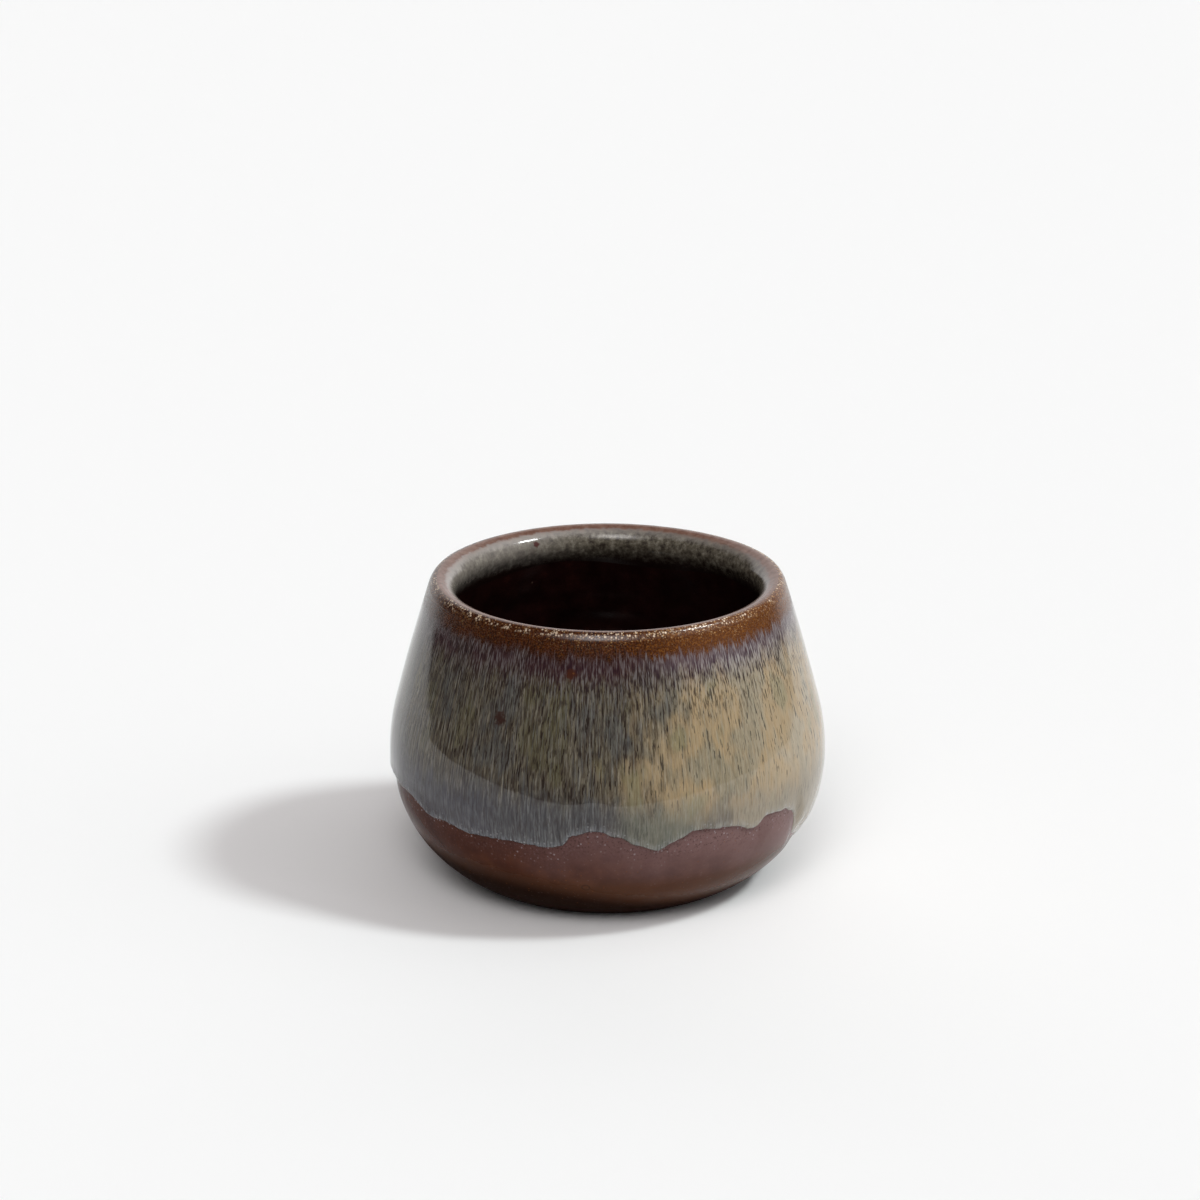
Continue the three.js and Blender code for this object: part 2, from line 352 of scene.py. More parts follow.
def glaze_coat(name, face_rings, seat_rings, lay, to_middle=False):
    """A strip drawn flat, cut finer, turned into a tube and laid on the wall.

    `lay` takes a point's angle, its share of the way down the coat and whether it is on the face. It gives
    the point's radius and height, its distance from the crest and its distance from the run's edge.
    """
    bm = bmesh.new()
    seat_top, seat_end, face_end, face_top = (
        bm.verts.new(corner) for corner in ((1, 0, 0), (1, 0, 1), (2, 0, 1), (2, 0, 0))
    )
    face = bm.edges.new((face_top, face_end))
    seat = bm.edges.new((seat_top, seat_end))
    bm.edges.new((seat_top, face_top))
    if not to_middle:
        bm.edges.new((seat_end, face_end))
    bmesh.ops.subdivide_edges(bm, edges=[face], cuts=face_rings)
    bmesh.ops.subdivide_edges(bm, edges=[seat], cuts=seat_rings)
    turned(bm, TURN_STEPS)
    from_crest = bm.verts.layers.float.new("from_crest")
    to_edge = bm.verts.layers.float.new("to_edge")
    for vert in bm.verts:
        angle = math.atan2(vert.co.x, -vert.co.y)
        proud = round(math.hypot(vert.co.x, vert.co.y) - 1)
        (radius, height), distance, edge = lay(angle, vert.co.z, proud)
        vert.co = standing(angle, radius, height)
        vert[from_crest] = distance / MM
        vert[to_edge] = edge / MM
    return finished(name, bm)


def stoneware_body():
    """The clay: standing ring with its turned recess, wall and floor, spun from one section."""
    ring_inside = FOOT_RADIUS - FOOT_WIDTH
    recess_edge = ring_inside - FOOT_ROUND
    section = [(0.0, FOOT_RECESS)]
    steps = TURNING_MARKS * STEPS_PER_MARK
    for step in range(1, steps):
        mark = TURNING_DEPTH * math.cos(2 * math.pi * step / STEPS_PER_MARK)
        section.append((recess_edge * step / steps, FOOT_RECESS + mark))
    section += [
        (recess_edge, FOOT_RECESS), (ring_inside - RECESS_EASE / 2, FOOT_RECESS - RECESS_EASE),
        (ring_inside, RING_EASE), (ring_inside + RING_EASE, 0.0),
        (FOOT_RADIUS - RING_TURN, 0.0), (FOOT_RADIUS - RING_DRAFT, RING_EASE),
    ]
    wall_foot = OUTSIDE_RUN - FOOT_ROUND
    for step in range(WALL_STEPS + 1):
        section.append(outside(wall_foot * (1 - step / WALL_STEPS), 0.0))
    for step in range(1, WALL_STEPS + 1):
        section.append(inside(INSIDE_RUN * step / WALL_STEPS, 0.0))
    bm = bmesh.new()
    verts = [bm.verts.new((radius, 0, height)) for radius, height in section]
    for pair in zip(verts, verts[1:]):
        bm.edges.new(pair)
    turned(bm, TURN_STEPS // 2)
    for vert in bm.verts:
        angle = math.atan2(vert.co.x, -vert.co.y)
        vert.co = standing(angle, math.hypot(vert.co.x, vert.co.y), vert.co.z)
    return finished("thrown_stoneware", bm)


def turned(bm, steps):
    """Turns all that is drawn once round the cup's axis."""
    bmesh.ops.spin(
        bm, geom=bm.verts[:] + bm.edges[:], cent=(0, 0, 0), axis=(0, 0, 1),
        angle=2 * math.pi, steps=steps, use_merge=True,
    )


def standing(angle, radius, height):
    """The place of a point of the cup, with the thrower's unevenness."""
    radius, height = thrown(angle, radius, height)
    return radius * math.sin(angle), -radius * math.cos(angle), height


def finished(name, bm):
    """Closes the seam and the poles, faces the skin outwards and hands over the piece."""
    bmesh.ops.remove_doubles(bm, verts=bm.verts[:], dist=MERGE_DISTANCE)
    bmesh.ops.recalc_face_normals(bm, faces=bm.faces[:])
    for edge in bm.edges:
        edge.smooth = edge.calc_face_angle(0.0) < SHARP_EDGE
    mesh = bpy.data.meshes.new(name)
    bm.to_mesh(mesh)
    bm.free()
    mesh.polygons.foreach_set("use_smooth", [True] * len(mesh.polygons))
    piece = bpy.data.objects.new(name, mesh)
    bpy.context.scene.collection.objects.link(piece)
    return piece


class Finish:
    """One procedural finish: its nodes are added in the order a hand would lay the colours."""

    def __init__(self, name):
        self.material = bpy.data.materials.new(name)
        self.material.use_nodes = True
        self.tree = self.material.node_tree
        self.shader = self.tree.nodes["Principled BSDF"]
        self.place = self.add("ShaderNodeTexCoord").outputs["Object"]

    def add(self, kind, **settings):
        node = self.tree.nodes.new(kind)
        for key, value in settings.items():
            setattr(node, key, value)
        return node

    def feed(self, socket, value):
        if isinstance(value, bpy.types.NodeSocket):
            self.tree.links.new(value, socket)
        elif isinstance(value, tuple) and len(value) == 3 and socket.type == "RGBA":
            socket.default_value = (*value, 1.0)
        else:
            socket.default_value = value

    def maths(self, how, *values):
        node = self.add("ShaderNodeMath", operation=how)
        for socket, value in zip(node.inputs, values):
            self.feed(socket, value)
        return node.outputs[0]

    def times(self, first, *others):
        for other in others:
            first = self.maths("MULTIPLY", first, other)
        return first

    def plus(self, first, second):
        return self.maths("ADD", first, second)

    def stirred(self, value, cloud, by):
        """`value` pushed up and down where the cloud is thick and thin, `by` over its whole range."""
        return self.maths("MULTIPLY_ADD", self.maths("SUBTRACT", cloud, 0.5), by, value)

    def reach(self, value, start, end, low=0.0, high=1.0):
        """Goes smoothly from `low` at `start` to `high` at `end`, and stays there."""
        node = self.add("ShaderNodeMapRange", interpolation_type="SMOOTHSTEP")
        for socket, given in zip(node.inputs, (value, start, end, low, high)):
            self.feed(socket, given)
        return node.outputs[0]

    def vector(self, how, first, second=(0.0, 0.0, 0.0)):
        node = self.add("ShaderNodeVectorMath", operation=how)
        self.feed(node.inputs[0], first)
        self.feed(node.inputs[1], second)
        return node.outputs["Value"] if how in ("DISTANCE", "LENGTH") else node.outputs["Vector"]

    def split(self, vector):
        node = self.add("ShaderNodeSeparateXYZ")
        self.feed(node.inputs[0], vector)
        return node.outputs

    def attribute(self, name):
        return self.add("ShaderNodeAttribute", attribute_name=name).outputs["Fac"]

    def from_axis(self):
        return self.vector("MULTIPLY", self.place, (1.0, 1.0, 0.0))

    def facing(self):
        """The level direction from the cup's axis, the same all the way down the wall."""
        return self.vector("NORMALIZE", self.from_axis())

    def cloud(self, place, scale=1.0, detail=2.0, roughness=0.5):
        node = self.add("ShaderNodeTexNoise")
        named = {"Vector": place, "Scale": scale, "Detail": detail, "Roughness": roughness}
        for name, value in named.items():
            self.feed(node.inputs[name], value)
        return node.outputs["Fac"]

    def specks(self, scale, size, share):
        """Small round dots, about one in each cell for `share` of the cells."""
        node = self.add("ShaderNodeTexVoronoi")
        self.feed(node.inputs["Vector"], self.place)
        self.feed(node.inputs["Scale"], scale)
        chance = self.add("ShaderNodeSeparateColor")
        self.feed(chance.inputs[0], node.outputs["Color"])
        chosen = self.maths("LESS_THAN", chance.outputs[0], share)
        dot = self.reach(node.outputs["Distance"], size, size * 0.5)
        return self.times(dot, chosen)

    def away(self, centre):
        return self.vector("DISTANCE", self.place, centre)

    def tones(self, value, stops):
        """Colours laid one after another along `value`."""
        node = self.add("ShaderNodeValToRGB")
        band = node.color_ramp
        for at, colour in stops[1:-1]:
            band.elements.new(at).color = (*colour, 1.0)
        for element, (at, colour) in ((band.elements[0], stops[0]), (band.elements[-1], stops[-1])):
            element.position = at
            element.color = (*colour, 1.0)
        self.feed(node.inputs[0], value)
        return node.outputs["Color"]

    def over(self, share, under, colour):
        """`colour` laid over `under`, as much as `share` says."""
        node = self.add("ShaderNodeMix", data_type="RGBA", blend_type="MIX")
        self.feed(node.inputs["Factor"], share)
        self.feed(node.inputs[6], under)
        self.feed(node.inputs[7], colour)
        return node.outputs[2]

    def relief(self, height, depth):
        node = self.add("ShaderNodeBump")
        self.feed(node.inputs["Height"], height)
        node.inputs["Distance"].default_value = depth
        self.tree.links.new(node.outputs["Normal"], self.shader.inputs["Normal"])

    def mirrors(self, level):
        self.shader.inputs["Specular IOR Level"].default_value = level

    def done(self, colour, roughness):
        self.feed(self.shader.inputs["Base Color"], colour)
        self.feed(self.shader.inputs["Roughness"], roughness)
        return self.material


# Bare clay, from its dark grains to its pale ones.
CLAY_TONES = ((0.3, (0.2, 0.11, 0.065)), (0.55, (0.33, 0.2, 0.12)), (0.75, (0.42, 0.28, 0.18)))
TOASTED_CLAY = (0.22, 0.1, 0.05)
IRON_GRAIN = (0.05, 0.025, 0.015)
# Painted shade: the outside of the standing ring, tucked under the bowl by the table, is darkened near black.
PAINTED_RING_SHADE = (0.014, 0.0045, 0.0025)
RING_SHADE_RISE = (0.1 * MM, 0.4 * MM)
RING_SHADE_REACH = (FOOT_RADIUS - 1.2 * MM, FOOT_RADIUS - 0.5 * MM)
CLAY_RELIEF = 0.06 * MM


def bare_stoneware():
    """Matte clay with iron grains, and painted shade low on the outside of the standing ring, by the table.
    """
    clay = Finish("bare_stoneware")
    grain = clay.cloud(clay.place, 900, 4, 0.6)
    patch = clay.cloud(clay.place, 60, 2)
    tone = clay.tones(grain, CLAY_TONES)
    tone = clay.over(clay.reach(patch, 0.4, 0.7, 0.0, 0.5), tone, TOASTED_CLAY)
    tone = clay.over(clay.times(clay.specks(700, 0.35, 0.25), 0.7), tone, IRON_GRAIN)
    radius = clay.vector("LENGTH", clay.from_axis())
    height = clay.split(clay.place)[2]
    # Painted shade on the ring's outer side, above its lowest edge.
    ring_shade = clay.times(clay.reach(height, *RING_SHADE_RISE), clay.reach(radius, *RING_SHADE_REACH, 0.0, 0.94))
    tone = clay.over(ring_shade, tone, PAINTED_RING_SHADE)
    clay.relief(grain, CLAY_RELIEF)
    return clay.done(tone, clay.reach(grain, 0.3, 0.7, 0.7, 0.9))


# Brown iron glaze. Stretches are in millimetres, from the crest of the lip or below the run line.
IRON_TONES = ((0.25, (0.036, 0.0085, 0.003)), (0.5, (0.057, 0.0145, 0.005)), (0.75, (0.082, 0.024, 0.008)))
# Violet haze below the run: the glaze's own colour, lifted towards the front and right as painted reflection.
VIOLET_HAZE_AND_PAINTED_REFLECTION = (0.112, 0.056, 0.053)
HAZE_AND_REFLECTION_BELOW_RUN = (9.0, -0.5)
# Painted reflection: a pale grazing reflection of the white table, laid on the brown as colour, strongest at
# the right.
PAINTED_TABLE_REFLECTION = (0.26, 0.17, 0.165)
REFLECTION_BELOW_RUN = (12.0, 3.0)
REFLECTION_ENDS = (49.5, 45.5)
WARM_RUST = (0.074, 0.023, 0.005)
WARM_FROM_CREST = (43.5, 48.0)
# Painted shade: the brown goes near black towards the foot, from higher up on the left, away from the lamp.
PAINTED_FOOT_SHADE = (0.011, 0.003, 0.001)
FOOT_SHADE_FROM_CREST = (45.5, 52.5)
GRIT_BELOW_RUN = (5.5, 0.0)
DARK_GRIT = (0.022, 0.008, 0.006)
GREY_GRIT = (0.2, 0.13, 0.14)
PALE_SPECK = (0.34, 0.28, 0.29)
RUST_SPECK = (0.2, 0.07, 0.02)
BUBBLE_RING = (0.012, 0.004, 0.002)
BROWN_RELIEF = 0.02 * MM


def brown_iron():
    """Red-brown iron glaze: violet haze, partly a painted reflection, and grit below the run, a painted
    reflection of the table at the right, warmer and then painted shade towards the foot.
    """
    brown = Finish("brown_iron_glaze")
    down = brown.attribute("from_crest")
    below = brown.attribute("to_edge")
    to_right = brown.split(brown.facing())[0]
    mottle = brown.cloud(brown.place, 240, 3, 0.6)
    drift = brown.stirred(below, brown.cloud(brown.place, 70, 2), 6.0)
    tone = brown.tones(mottle, IRON_TONES)
    # Violet haze, partly the glaze's own colour and partly painted reflection.
    haze = brown.times(
        brown.reach(drift, *HAZE_AND_REFLECTION_BELOW_RUN, 0.0, 0.85), brown.reach(to_right, -0.6, 0.0, 0.3, 1.0),
    )
    tone = brown.over(haze, tone, VIOLET_HAZE_AND_PAINTED_REFLECTION)
    # Painted reflection of the table on the brown.
    tone = brown.over(painted_reflection_share(brown, down, below, to_right, mottle), tone, PAINTED_TABLE_REFLECTION)
    tone = brown.over(brown.reach(down, *WARM_FROM_CREST, 0.0, 0.7), tone, WARM_RUST)
    # Painted shade under the bowl: it starts higher on the shaded left and lower on the lamp's right.
    lower_at_right = brown.maths("SUBTRACT", down, brown.reach(to_right, -0.6, 0.6, -2.0, 5.0))
    foot = brown.reach(lower_at_right, *FOOT_SHADE_FROM_CREST, 0.0, 0.95)
    tone = brown.over(foot, tone, PAINTED_FOOT_SHADE)
    grit = brown.cloud(brown.place, 2300, 2, 0.7)
    tone = brown_grit(brown, tone, drift, mottle, grit)
    ring = brown.maths("ABSOLUTE", brown.maths("SUBTRACT", brown.away(HEALED_BUBBLE), BUBBLE_RADIUS))
    tone = brown.over(brown.reach(ring, 0.3 * BUBBLE_RADIUS, 0.0, 0.0, 0.5), tone, BUBBLE_RING)
    brown.relief(brown.plus(brown.cloud(brown.place, 420, 2), brown.times(grit, 0.12)), BROWN_RELIEF)
    brown.mirrors(0.05)
    gloss = brown.reach(mottle, 0.3, 0.7, 0.14, 0.24)
    return brown.done(tone, brown.plus(gloss, brown.times(foot, 0.7)))


def painted_reflection_share(brown, down, below, to_right, mottle):
    """How much painted reflection of the white table lies on the brown: more towards the right, little at the
    foot.
    """
    spread = brown.maths("MAXIMUM", brown.maths("MULTIPLY_ADD", to_right, 0.56, 0.25), 0.0)
    spread = brown.plus(spread, brown.reach(to_right, 0.7, 0.95, 0.0, 0.2))
    return brown.times(
        spread, brown.reach(below, *REFLECTION_BELOW_RUN, 0.62, 0.85),
        brown.reach(mottle, 0.34, 0.62, 0.82, 1.0), brown.reach(down, *REFLECTION_ENDS, 0.1, 1.0),
    )


def brown_grit(brown, tone, drift, mottle, grit):
    """Dark and grey grit and pale specks, thickest just below the run, and a few rust specks all over."""
    near = brown.reach(drift, *GRIT_BELOW_RUN, 0.1, 1.0)
    tone = brown.over(brown.times(brown.reach(grit, 0.46, 0.32), near, 0.55), tone, DARK_GRIT)
    tone = brown.over(brown.times(brown.reach(grit, 0.56, 0.74), near, 0.4), tone, GREY_GRIT)
    pale = brown.times(brown.specks(1700, 0.38, 0.3), brown.reach(mottle, 0.42, 0.6, 0.15, 1.0))
    tone = brown.over(brown.times(pale, near, 0.75), tone, PALE_SPECK)
    return brown.over(brown.times(brown.specks(1500, 0.26, 0.08), 0.4), tone, RUST_SPECK)


# Near black liner.
LINER_TONES = ((0.3, (0.005, 0.0016, 0.0014)), (0.6, (0.013, 0.0036, 0.003)), (0.8, (0.028, 0.007, 0.005)))
LINER_PIN = (0.1, 0.07, 0.05)
LINER_RELIEF = 0.015 * MM


def black_liner():
    liner = Finish("black_liner_glaze")
    mottle = liner.cloud(liner.place, 220, 3, 0.6)
    tone = liner.tones(mottle, LINER_TONES)
    tone = liner.over(liner.times(liner.specks(420, 0.16, 0.06), 0.6), tone, LINER_PIN)
    liner.relief(liner.cloud(liner.place, 300, 2), LINER_RELIEF)
    return liner.done(tone, liner.reach(mottle, 0.3, 0.7, 0.1, 0.2))


class StreakedCoat(Finish):
    """The patterns of the overglaze, drawn out down the wall as the glaze ran."""

    def __init__(self, name):
        super().__init__(name)
        self.down = self.attribute("from_crest")
        self.edge = self.attribute("to_edge")
        self.wall_facing = self.facing()
        self.to_right = self.split(self.wall_facing)[0]
        self.fine = self.streaks(105, 0.26, 0.0, 3, 0.6)
        self.dash = self.streaks(135, 0.55, 9.0, 2, 0.55)
        self.wide = self.streaks(26, 0.1, 7.0, 2)
        self.broad = self.streaks(6, 0.09, 3.0, 2)
        self.hair = self.streaks(170, 0.15, 11.0, 1)
        self.fleck = self.streaks(112, 0.36, 5.0, 2)
        self.ragged = self.stirred(self.stirred(self.down, self.wide, 6.0), self.dash, 3.0)
        self.brink = self.stirred(self.stirred(self.down, self.wide, 3.6), self.dash, 4.8)
        sunny = self.stirred(self.stirred(self.to_right, self.wide, 0.5), self.broad, 0.7)
        self.sunny = self.plus(sunny, self.reach(self.down, 16.0, 28.0, 0.0, 0.12))
        self.tanned = self.reach(self.sunny, 0.02, 0.5)

    def streaks(self, around, along, shift, detail, roughness=0.5):
        """A cloud that follows the wall: `around` counts per radian, `along` per millimetre from the lip."""
        turned_place = self.vector("MULTIPLY", self.wall_facing, (around, around, 0.0))
        fall = self.add("ShaderNodeCombineXYZ")
        self.feed(fall.inputs[0], shift)
        self.feed(fall.inputs[2], self.times(self.down, along))
        return self.cloud(self.vector("ADD", turned_place, fall.outputs[0]), 1, detail, roughness)

    def by_tan(self, grey, tan):
        """A colour for the grey side of the cup, and one for its tan side."""
        return self.over(self.tanned, grey, tan)


def streaked_rutile():
    """The overglaze outside and on the lip: rust with glitter, then violet, then streaks, then blue grey."""
    coat = StreakedCoat("streaked_rutile_glaze")
    tone = streaked_wall(coat)
    low = coat.reach(coat.maths("MULTIPLY_ADD", coat.tanned, -2.0, coat.ragged), 26.0, 33.0, 0.0, 0.85)
    tone = coat.over(low, tone, slate_foot(coat))
    tone = dashes_and_flecks(coat, tone)
    tone = rolled_edge(coat, tone)
    tone = violet_brink(coat, tone)
    tone = rust_and_grains(coat, tone)
    tone = inner_slope(coat, tone)
    tone = iron_spots(coat, tone)
    return glossed(coat, tone)


# The main field of the overglaze. A pair of colours is for the grey side of the cup and for its tan side.
GREY_STREAKS = (
    (0.3, (0.018, 0.014, 0.011)), (0.45, (0.074, 0.061, 0.042)),
    (0.58, (0.134, 0.115, 0.08)), (0.72, (0.26, 0.235, 0.185)),
)
TAN_STREAKS = (
    (0.28, (0.15, 0.12, 0.074)), (0.45, (0.25, 0.202, 0.126)),
    (0.58, (0.3, 0.245, 0.156)), (0.75, (0.39, 0.335, 0.235)),
)
SAND = (0.5, 0.415, 0.3)
PEACH = (0.42, 0.295, 0.155)
OLIVE = ((0.105, 0.094, 0.042), (0.25, 0.22, 0.105))
COOL_PATCH = ((0.082, 0.086, 0.084), (0.24, 0.225, 0.165))
BLUE_HAIR = ((0.16, 0.17, 0.18), (0.2, 0.205, 0.17))
BROWN_HAIR = ((0.05, 0.033, 0.03), (0.2, 0.135, 0.075))


def streaked_wall(coat):
    """Olive grey at the left, tan at the right, with warmer and cooler patches."""
    tone = coat.by_tan(coat.tones(coat.fine, GREY_STREAKS), coat.tones(coat.fine, TAN_STREAKS))
    tone = coat.over(coat.reach(coat.to_right, 0.5, 0.92, 0.0, 0.7), tone, SAND)
    tone = coat.over(coat.reach(coat.broad, 0.52, 0.62, 0.0, 0.45), tone, coat.by_tan(*OLIVE))
    cool = coat.times(coat.reach(coat.broad, 0.47, 0.36), coat.reach(coat.tanned, 0.2, 0.9, 0.5, 0.25))
    tone = coat.over(cool, tone, coat.by_tan(*COOL_PATCH))
    peach = coat.times(coat.reach(coat.broad, 0.62, 0.5), coat.reach(coat.broad, 0.4, 0.5, 0.0, 0.6))
    tone = coat.over(coat.times(peach, coat.tanned), tone, PEACH)
    blue = coat.times(coat.reach(coat.hair, 0.53, 0.66), coat.reach(coat.tanned, 0.2, 0.9, 0.3, 0.28))
    tone = coat.over(blue, tone, coat.by_tan(*BLUE_HAIR))
    dark = coat.times(coat.reach(coat.hair, 0.47, 0.34), coat.reach(coat.tanned, 0.2, 0.9, 0.4, 0.22))
    return coat.over(dark, tone, coat.by_tan(*BROWN_HAIR))


# The lower coat, above its edge.
SLATE_STREAKS = (
    (0.28, (0.016, 0.014, 0.018)), (0.5, (0.048, 0.048, 0.054)), (0.72, (0.132, 0.137, 0.14)),
)
VIOLET_SLATE = (0.037, 0.036, 0.06)
GREEN_SLATE = (0.135, 0.145, 0.11)
SANDY_SLATE = (0.31, 0.265, 0.195)


def slate_foot(coat):
    """Blue grey, more violet at the far left, greenish past the middle, sandy at the right."""
    slate = coat.tones(coat.fine, SLATE_STREAKS)
    slate = coat.over(coat.reach(coat.to_right, -0.25, -0.7, 0.0, 0.6), slate, VIOLET_SLATE)
    green = coat.times(coat.reach(coat.to_right, 0.0, 0.14), coat.reach(coat.to_right, 0.52, 0.34, 0.0, 0.75))
    slate = coat.over(green, slate, GREEN_SLATE)
    return coat.over(coat.reach(coat.sunny, 0.35, 0.85, 0.0, 0.85), slate, SANDY_SLATE)


# Dashes and flecks on the main field.
DARK_DASH = (0.026, 0.016, 0.016)
PALE_DASH = ((0.15, 0.14, 0.14), (0.37, 0.335, 0.28))
DARK_FLECK = ((0.02, 0.012, 0.009), (0.05, 0.044, 0.038))


def dashes_and_flecks(coat, tone):
    """Short dark and pale dashes, dense near the lip, and long dark flecks further down."""
    upper = coat.reach(coat.ragged, 19.0, 6.0)
    calm_tan = coat.times(coat.tanned, coat.reach(coat.ragged, 11.0, 19.0))
    quiet = coat.reach(calm_tan, 0.2, 0.9, 1.0, 0.25)
    dark = coat.times(coat.reach(coat.dash, 0.48, 0.39), coat.reach(upper, 0.0, 1.0, 0.5, 0.85), quiet)
    tone = coat.over(dark, tone, DARK_DASH)
    pale = coat.times(coat.reach(coat.dash, 0.54, 0.64), coat.reach(upper, 0.0, 1.0, 0.16, 0.65))
    tone = coat.over(pale, tone, coat.by_tan(*PALE_DASH))
    fewer_on_tan = coat.reach(coat.tanned, 0.0, 0.8, 0.588, 0.61)
    flecks = coat.times(
        coat.reach(coat.fleck, fewer_on_tan, 0.65), coat.reach(coat.ragged, 34.0, 26.0, 0.3, 0.92),
        coat.reach(coat.tanned, 0.2, 0.9, 1.0, 0.85),
    )
    return coat.over(flecks, tone, coat.by_tan(*DARK_FLECK))


# The edge of the run: a pale rolled rim and crumbs of it.
ROLLED_RIM = ((0.17, 0.18, 0.195), (0.3, 0.29, 0.27))
RIM_CRUMB = (0.36, 0.36, 0.36)


def rolled_edge(coat, tone):
    rim = coat.times(coat.reach(coat.edge, 2.0, 0.1), coat.reach(coat.dash, 0.4, 0.6, 0.15, 0.7))
    tone = coat.over(rim, tone, coat.by_tan(*ROLLED_RIM))
    crumbs = coat.times(coat.reach(coat.edge, 2.6, 0.2), coat.specks(1700, 0.42, 0.4), 0.45)
    return coat.over(crumbs, tone, RIM_CRUMB)


# Where the streaks begin under the rust.
VIOLET_DASHES = ((0.38, (0.014, 0.005, 0.007)), (0.5, (0.044, 0.023, 0.021)), (0.61, (0.14, 0.119, 0.122)))
LILAC_DASHES = ((0.38, (0.03, 0.02, 0.028)), (0.5, (0.14, 0.115, 0.125)), (0.6, (0.31, 0.285, 0.29)))
PLUM = (0.042, 0.01, 0.02)
LILAC_BRIM = (0.1, 0.062, 0.08)


def violet_brink(coat, tone):
    """Violet dashes under the rust, lilac towards the right, with plum patches on the left and the front."""
    violet = coat.tones(coat.dash, VIOLET_DASHES)
    lilac = coat.tones(coat.dash, LILAC_DASHES)
    violet = coat.over(coat.reach(coat.to_right, 0.15, 0.6), violet, lilac)
    tone = coat.over(coat.reach(coat.brink, 12.0, 6.0, 0.0, 0.85), tone, violet)
    plum = coat.times(
        coat.reach(coat.broad, 0.4, 0.56), coat.reach(coat.brink, 10.0, 6.0, 0.0, 0.35),
        coat.reach(coat.to_right, 0.7, 0.2),
    )
    tone = coat.over(plum, tone, PLUM)
    brim = coat.times(coat.reach(coat.brink, 7.6, 5.6), coat.reach(coat.to_right, 0.1, 0.4, 0.0, 0.45))
    return coat.over(brim, tone, LILAC_BRIM)


# The rust under the lip, its crystals, and painted glints of the lamp along the lip's corner.
RUST_DASHES = ((0.36, (0.018, 0.0034, 0.0008)), (0.6, (0.052, 0.0115, 0.0016)))
GOLDEN_RUST = (0.115, 0.035, 0.006)
DULL_GRAIN = (0.27, 0.1, 0.016)
BRIGHT_GRAIN = (0.66, 0.42, 0.2)
PAINTED_CORNER_GLINT = (0.85, 0.68, 0.5)


def rust_and_grains(coat, tone):
    """Rust where the coat breaks under the lip, full of fine gold crystals, brightest at the right, with
    painted lamp glints along the lip's corner.
    """
    rust = coat.tones(coat.dash, RUST_DASHES)
    rust = coat.over(coat.reach(coat.to_right, 0.0, 0.6, 0.0, 0.8), rust, GOLDEN_RUST)
    band = coat.times(coat.reach(coat.brink, 5.4, 3.5), coat.reach(coat.down, -0.35, -0.05))
    tone = coat.over(band, tone, rust)
    grain = coat.cloud(coat.place, 2700, 2, 0.8)
    dull = coat.times(
        coat.reach(grain, 0.5, 0.62), coat.reach(coat.brink, 5.0, 2.5),
        band, coat.reach(coat.to_right, -0.2, 0.5, 0.25, 0.6),
    )
    tone = coat.over(dull, tone, DULL_GRAIN)
    thick = coat.cloud(coat.place, 330, 2, 0.6)
    top = coat.times(coat.reach(coat.maths("MULTIPLY_ADD", thick, 5.0, coat.brink), 5.4, 2.6), band)
    bright = coat.times(coat.specks(3300, 0.5, 0.3), top, coat.reach(coat.to_right, -0.5, 0.4, 0.4, 0.8))
    tone = coat.over(bright, tone, BRIGHT_GRAIN)
    # Painted highlight: pale specks along the lip's corner stand for the lamp's glints, more of them towards
    # the right.
    corner = coat.times(coat.reach(coat.down, -0.3, 0.0), coat.reach(coat.down, 1.1, 0.5))
    painted_glint = coat.times(
        coat.specks(2100, 0.55, 0.55), corner,
        coat.reach(thick, 0.4, 0.6), coat.reach(coat.to_right, -0.2, 0.5, 0.65, 0.95),
    )
    return coat.over(painted_glint, tone, PAINTED_CORNER_GLINT)


# Over the crest of the lip and down inside it.
CREST_TONES = ((0.3, (0.12, 0.055, 0.037)), (0.7, (0.215, 0.122, 0.092)))
INNER_MOTTLE = (
    (0.32, (0.032, 0.024, 0.019)), (0.44, (0.085, 0.071, 0.052)),
    (0.55, (0.142, 0.125, 0.094)), (0.68, (0.25, 0.225, 0.18)),
)
# Painted light: the inside of the lip is paler at the left, where it faces the lamp and holds the glow of its
# highlight.
PAINTED_LIGHT_INNER_LEFT = (0.33, 0.3, 0.275)
STRIP_RIGHT = (0.25, 0.225, 0.21)
# The pale strip's colour at the left is painted light as well.
STRIP_LEFT_PAINTED_LIGHT = (0.46, 0.42, 0.4)
# The band darkens down into the liner: partly the dark liner under the thinning band, partly painted shade
# deeper in the cup.
SUNK_DARK_AND_PAINTED_SHADE = (0.01, 0.0045, 0.0035)


